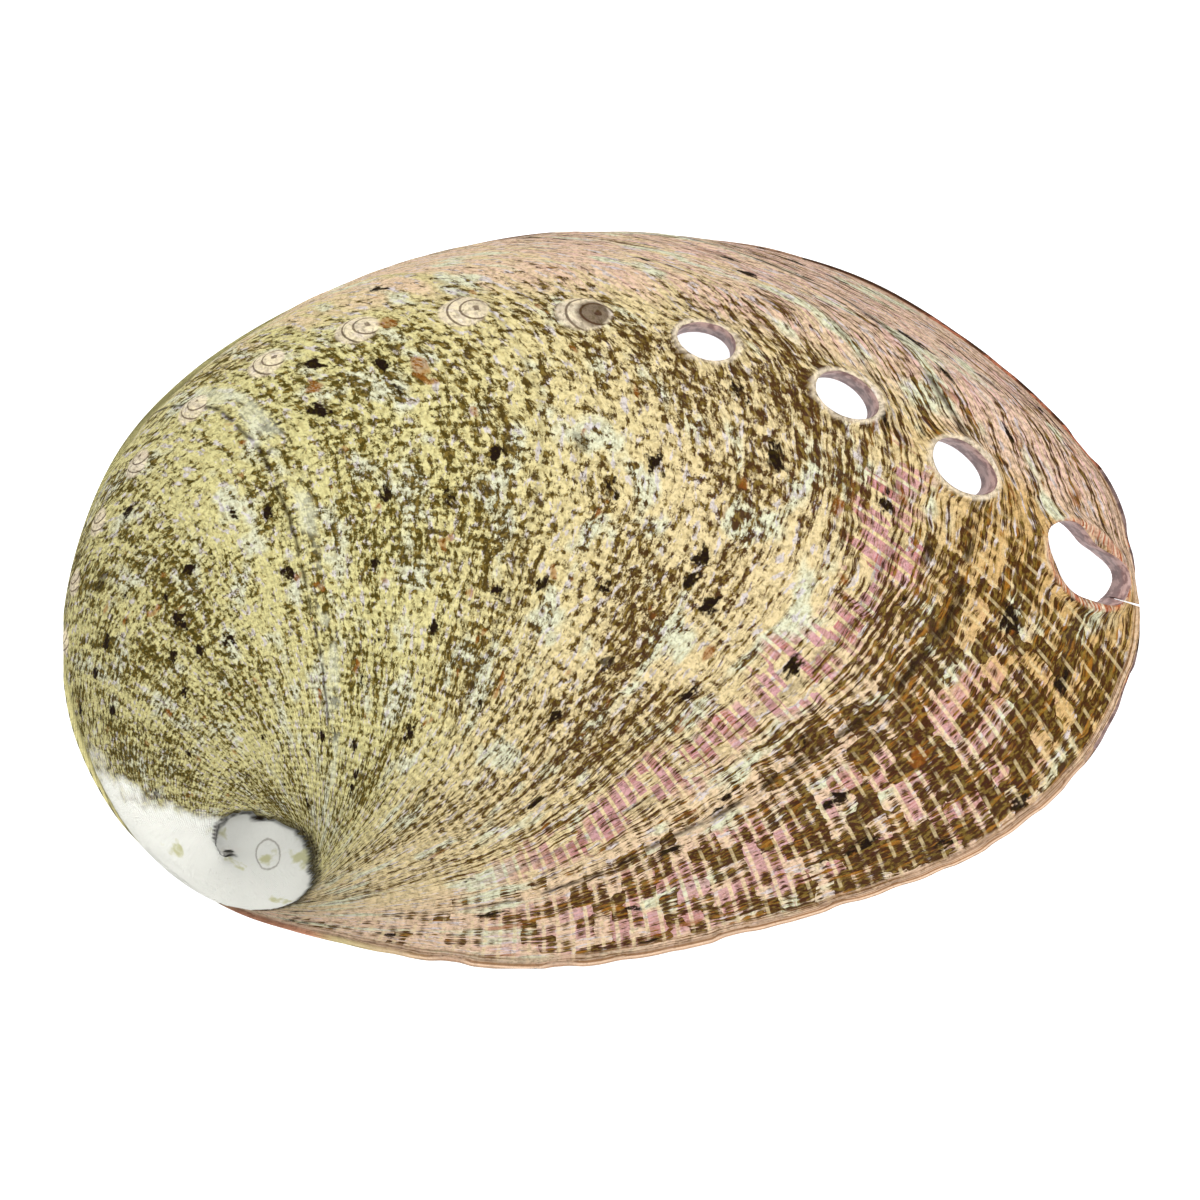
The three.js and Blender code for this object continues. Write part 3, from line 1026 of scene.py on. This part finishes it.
def worn_spire(f, age, share, colour):
    """Adds the white patch of the spire, and a ring of painted shade round the foot of its first whorl."""
    ragged = f.times(f.noise(f.place(), 260, 4), WORN_RAGGED)
    worn = f.plus(f.plus(age, ragged), f.times(share, WORN_SLANT))
    worn = f.step(worn, WORN_AGE, WORN_AGE + WORN_SOFT)
    white = f.mix(f.step(f.noise(f.place(), 180, 4), 0.6, 0.7), WORN_WHITE, WORN_OLIVE)
    colour = f.mix(worn, colour, white)
    # Painted shade: a dark ring round the foot of the raised first whorl
    ring = f.plus(f.fact("tip"), f.times(f.noise(f.place(), 700, 3), 0.3))
    ring = f.times(f.band(ring, 1.12, 1.22, 0.08), worn, 0.7)
    return f.mix(ring, colour, TIP_SHADE)


def flat_lip(f, colour):
    """Adds the lip: layered, olive on the left and salmon under the spire."""
    layers = f.noise(f.vector(f.times(f.fact("edge"), 3)), 1.0, 3)
    lip_colour = f.mix(f.step(layers, 0.42, 0.6), LIP_BROWN, PINK_CREAM)
    lip_colour = f.mix(f.fact("left"), lip_colour, OLIVE)
    lip_colour = f.mix(f.fact("foot"), lip_colour, SALMON)
    return f.mix(f.fact("lip"), colour, lip_colour)


def outside_material():
    f = Finish("abalone_outside")
    age, share = f.fact("age"), f.fact("share")
    lattice = Lattice(f)
    colour = outside_colour(f, lattice, age, share)
    colour = rim_and_holes(f, age, colour)
    # Fine grain, also a height of the bump: the colour darkens where the bump is low, partly grain and
    # partly painted shade in the small hollows
    grain_and_hollow_shade = f.noise(f.place(), 1800, 2)
    colour = f.mix(f.times(f.step(grain_and_hollow_shade, 0.52, 0.34), 0.35), colour, DARK_OLIVE)
    colour = worn_spire(f, age, share, colour)
    # Painted shade along the seams between whorls and in the crevice at the foot of the spire
    colour = f.mix(f.step(f.fact("suture_shade"), 0.12, 0.55), colour, SOOT)
    f.put(flat_lip(f, colour), f.surface.inputs["Base Color"])
    f.surface.inputs["Roughness"].default_value = 0.7
    f.surface.inputs["Specular IOR Level"].default_value = 0.04
    stria = lattice.noise(0.25, 2.8, 67, 2)
    height = f.plus(f.times(stria, 0.8), f.times(grain_and_hollow_shade, 0.7))
    f.bump(f.plus(height, f.times(lattice.valley(), -0.4)), 0.0005)
    return f.material


def inside_material():
    """Mother of pearl: silver, with teal, rose and green in slow waves."""
    f = Finish("mother_of_pearl")
    wave = f.noise(f.place(), 28, 3)
    ripple = f.noise(f.place(), 90, 4)
    colour = f.mix(f.step(wave, 0.35, 0.5), PEARL_TEAL, PEARL_SILVER)
    colour = f.mix(f.step(wave, 0.5, 0.65), colour, PEARL_ROSE)
    colour = f.mix(f.times(f.step(ripple, 0.55, 0.7), 0.6), colour, PEARL_GREEN)
    f.put(colour, f.surface.inputs["Base Color"])
    f.surface.inputs["Metallic"].default_value = 0.35
    f.surface.inputs["Roughness"].default_value = 0.22
    f.surface.inputs["Coat Weight"].default_value = 0.4
    f.bump(ripple, 0.0006)
    return f.material


def hole_wall_material():
    """The cut through the layers of the wall."""
    f = Finish("hole_wall")
    layers = f.step(f.noise(f.place(), 700, 3), 0.4, 0.6)
    f.put(f.mix(layers, LAYER_DARK, LAYER_PALE), f.surface.inputs["Base Color"])
    f.surface.inputs["Roughness"].default_value = 0.5
    return f.material


def floor_material():
    """A white table that glows, so that it also shows white through the holes."""
    f = Finish("floor_white")
    f.surface.inputs["Base Color"].default_value = (0.6, 0.6, 0.6, 1)
    f.surface.inputs["Emission Color"].default_value = (1, 1, 1, 1)
    f.surface.inputs["Emission Strength"].default_value = 0.8
    f.surface.inputs["Roughness"].default_value = 0.9
    return f.material


def stage():
    """The table, a hair under the rim."""
    half = FLOOR_HALF
    mesh = bpy.data.meshes.new("floor_surface")
    corners = [(x, y, FLOOR_LEVEL) for x, y in ((-half, -half), (half, -half), (half, half), (-half, half))]
    mesh.from_pydata(corners, [], [(0, 1, 2, 3)])
    floor = bpy.data.objects.new("floor", mesh)
    bpy.context.scene.collection.objects.link(floor)
    mesh.materials.append(floor_material())


def area_light(name, place, size, power):
    """A round light that shines at the middle of the frame."""
    light = bpy.data.lights.new(name, "AREA")
    light.shape = "DISK"
    light.size = size
    light.energy = power
    lamp = bpy.data.objects.new(name, light)
    bpy.context.scene.collection.objects.link(lamp)
    lamp.location = place
    lamp.rotation_mode = "QUATERNION"
    lamp.rotation_quaternion = (-Vector(place)).to_track_quat("-Z", "Y")


def lights():
    area_light("key", **KEY_LIGHT)
    area_light("fill", **FILL_LIGHT)
    world = bpy.data.worlds.new("studio")
    bpy.context.scene.world = world
    world.use_nodes = True
    world.node_tree.nodes["Background"].inputs["Color"].default_value = (1, 1, 1, 1)
    world.node_tree.nodes["Background"].inputs["Strength"].default_value = ROOM_LIGHT
    bpy.context.scene.view_settings.view_transform = "Standard"


def camera():
    """A camera straight above, looking down."""
    data = bpy.data.cameras.new("camera")
    data.sensor_width = SENSOR_WIDTH
    data.lens = SENSOR_WIDTH * CAMERA_DISTANCE / VIEW_WIDTH
    eye = bpy.data.objects.new("camera", data)
    bpy.context.scene.collection.objects.link(eye)
    eye.location = (0, 0, CAMERA_DISTANCE)
    bpy.context.scene.camera = eye


shell = abalone_shell()
print("shell", len(shell.data.polygons), "faces")
stage()
lights()
camera()
